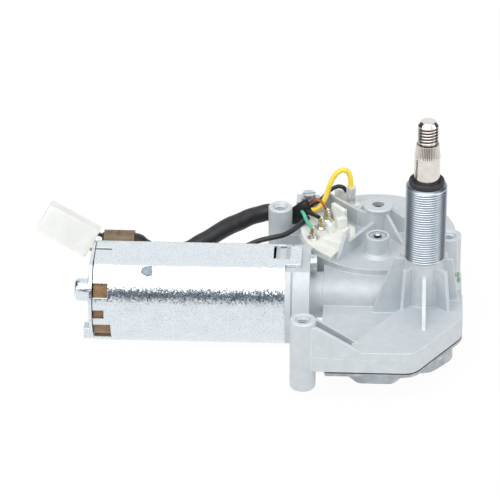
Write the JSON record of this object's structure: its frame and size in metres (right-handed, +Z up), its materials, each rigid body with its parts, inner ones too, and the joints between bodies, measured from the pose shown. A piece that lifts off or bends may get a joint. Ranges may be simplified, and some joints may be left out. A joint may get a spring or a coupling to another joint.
{
  "type": "rear wiper motor",
  "caption": "Wiper gearmotor with a flatted steel can, cast gear housing, ribbed column, threaded sleeve, knurled output shaft, mounting posts, terminal plate and short harness.",
  "frame": {"origin": "output shaft axis at the shoulder where the threaded sleeve meets the housing column", "axes": "+Z up the output shaft, -X along the motor, +Y from the output shaft to the gear pot"},
  "size_m": [0.1703, 0.1198, 0.1022],
  "materials": {
    "cast": "as cast, shot-blasted",
    "zinc": "bright zinc plate",
    "bronze": "sintered bronze",
    "seal": "matt rubber",
    "nickel": "turned, nickel-plated steel",
    "steel": "ground steel",
    "dark_steel": "spring steel",
    "acetal": "moulded",
    "brass": "rolled brass",
    "paper": "gasket paper",
    "galvanised": "galvanised, fine spangle",
    "nylon": "moulded nylon",
    "solder": "tin solder",
    "tin": "tinned",
    "phenolic": "pressed phenolic sheet",
    "carbon": "carbon",
    "ferrite": "sintered ferrite",
    "lamination": "stacked laminations",
    "enamelled_copper": "enamelled wire",
    "copper": "bare copper",
    "clip_brown": "moulded, weathered",
    "sheath_black": "soft vinyl",
    "lead_yellow": "soft vinyl",
    "lead_black": "soft vinyl",
    "lead_green": "soft vinyl",
    "lead_mixed": "soft vinyl",
    "plug_milky": "milky nylon"
  },
  "bodies": {
    "housing_group": {"gear_housing": "cast", "threaded_sleeve": "zinc", "upper_bush": "bronze", "lower_bush": "bronze", "shaft_seal": "seal", "thrust_washer": "steel", "wheel_axle": "steel", "wheel_washer": "acetal", "axle_clip": "dark_steel", "cover_gasket": "paper", "cover_plate": "galvanised", "cover_screws": "zinc", "contact_rivet": "zinc", "terminal_plate": "nylon", "contact_blades": "brass", "solder_joints": "solder", "rear_terminal_block": "nylon", "spade_terminal": "tin", "motor_can": "galvanised", "end_plate": "galvanised", "end_bearing": "bronze", "thrust_ball": "steel", "brush_plate": "phenolic", "brush_holders": "brass", "carbon_brushes": "carbon", "brush_springs": "steel", "magnets": "ferrite", "magnet_clips": "steel", "drive_bearing": "bronze", "worm_end_bush": "bronze", "thrust_button": "acetal", "flange_screws": "zinc", "earth_screw": "zinc", "earth_tag": "tin", "earth_braid": "copper", "cable_clip": "clip_brown", "harness_sheath": "sheath_black", "sheath_tail": "sheath_black", "yellow_lead": "lead_yellow", "black_lead": "lead_black", "short_lead": "lead_black", "green_lead": "lead_green", "motor_lead": "lead_black", "plug_leads": "lead_mixed", "plug_housing": "plug_milky", "plug_terminals": "brass"},
    "armature": {"armature_shaft": "steel", "armature_core": "lamination", "armature_winding": "enamelled_copper", "commutator": "copper"},
    "wheel": {"worm_wheel": "acetal", "crank_pin": "steel", "park_disc": "brass"},
    "output": {"output_shaft": "nickel", "output_lever": "steel", "lever_pin": "steel", "rod_clip": "dark_steel"},
    "rod": {"connecting_rod": "steel"}
  },
  "joints": [
    {"name": "armature_spin", "type": "hinge", "parent": "housing_group", "child": "armature", "pos_m": [-0.06, 0.012, -0.0251], "axis": [1, 0, 0], "continuous": true},
    {"name": "wheel_spin", "type": "hinge", "parent": "housing_group", "child": "wheel", "pos_m": [-0.0184, 0.0448, -0.0251], "axis": [0, 0, 1], "continuous": true},
    {"name": "output_swing", "type": "hinge", "parent": "housing_group", "child": "output", "pos_m": [0, 0, 0], "axis": [0, 0, 1], "range_deg": [-52, 52]},
    {"name": "rod_swing", "type": "hinge", "parent": "output", "child": "rod", "pos_m": [-0.01188, -0.00167, -0.0385], "axis": [0, 0, 1], "range_deg": [-52, 52]}
  ],
  "couplings": [
    {"joint": "wheel_spin", "follows": "armature_spin", "ratio": 0.02},
    {"joint": "rod_swing", "follows": "output_swing", "ratio": -1}
  ]
}
